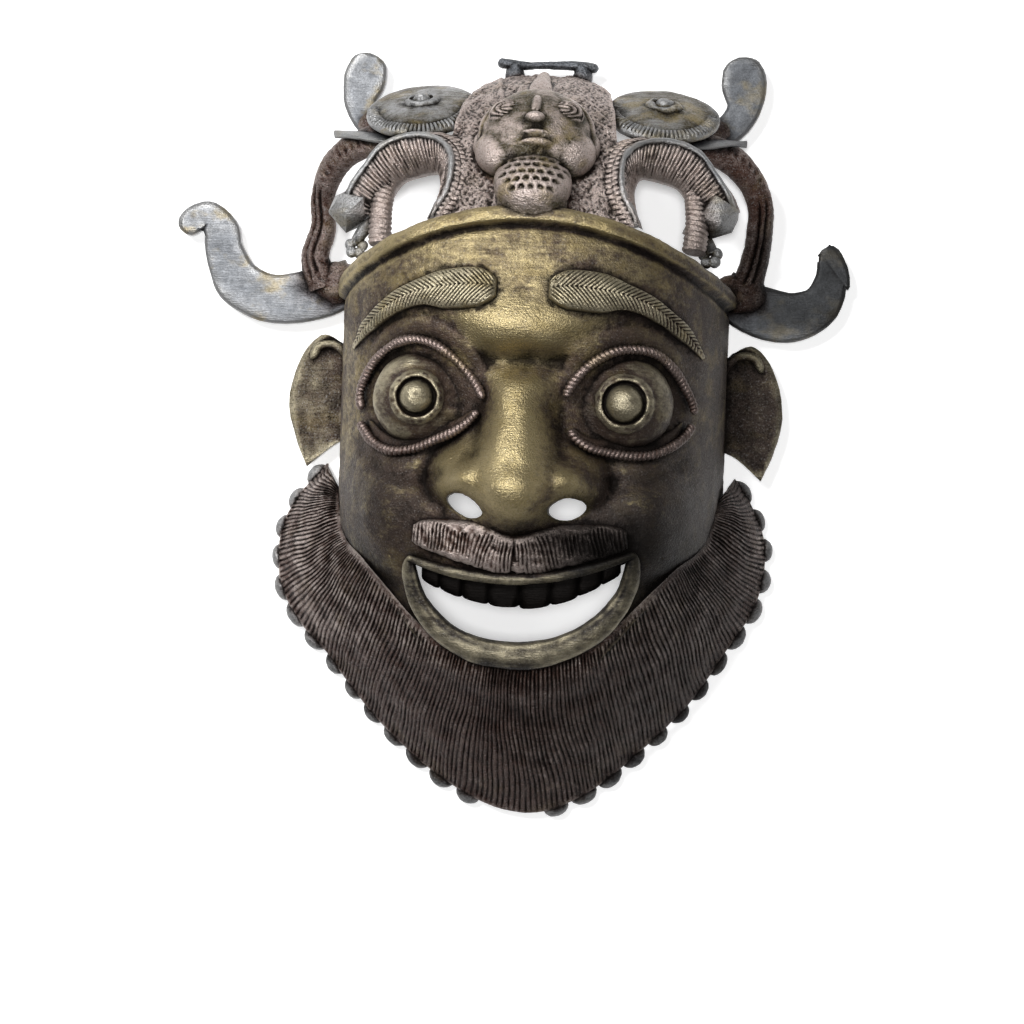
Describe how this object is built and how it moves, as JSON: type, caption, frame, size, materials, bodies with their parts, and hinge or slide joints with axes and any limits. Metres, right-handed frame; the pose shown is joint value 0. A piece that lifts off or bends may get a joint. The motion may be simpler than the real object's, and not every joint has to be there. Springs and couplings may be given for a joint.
{
  "type": "cast bronze face mask",
  "caption": "Hollow cast bronze face mask with stud eyes, open grinning mouth, flared beaded beard and a crested headdress of arched beasts, discs and flat hooks.",
  "frame": {"origin": "middle of the footprint of the mask lying on its back, on the surface it lies on", "axes": "+X across the face towards its left ear, +Y up the face from chin to crown, +Z out of the face"},
  "size_m": [0.3472, 0.3916, 0.1334],
  "materials": {
    "bronze": "old lost-wax casting: worn golden brass on the raised skin of the face, brown patina in the hollows, rough reddish casting skin on cap and beard, slate grey hooks"
  },
  "bodies": {
    "root": {"mask": "bronze"}
  },
  "joints": []
}
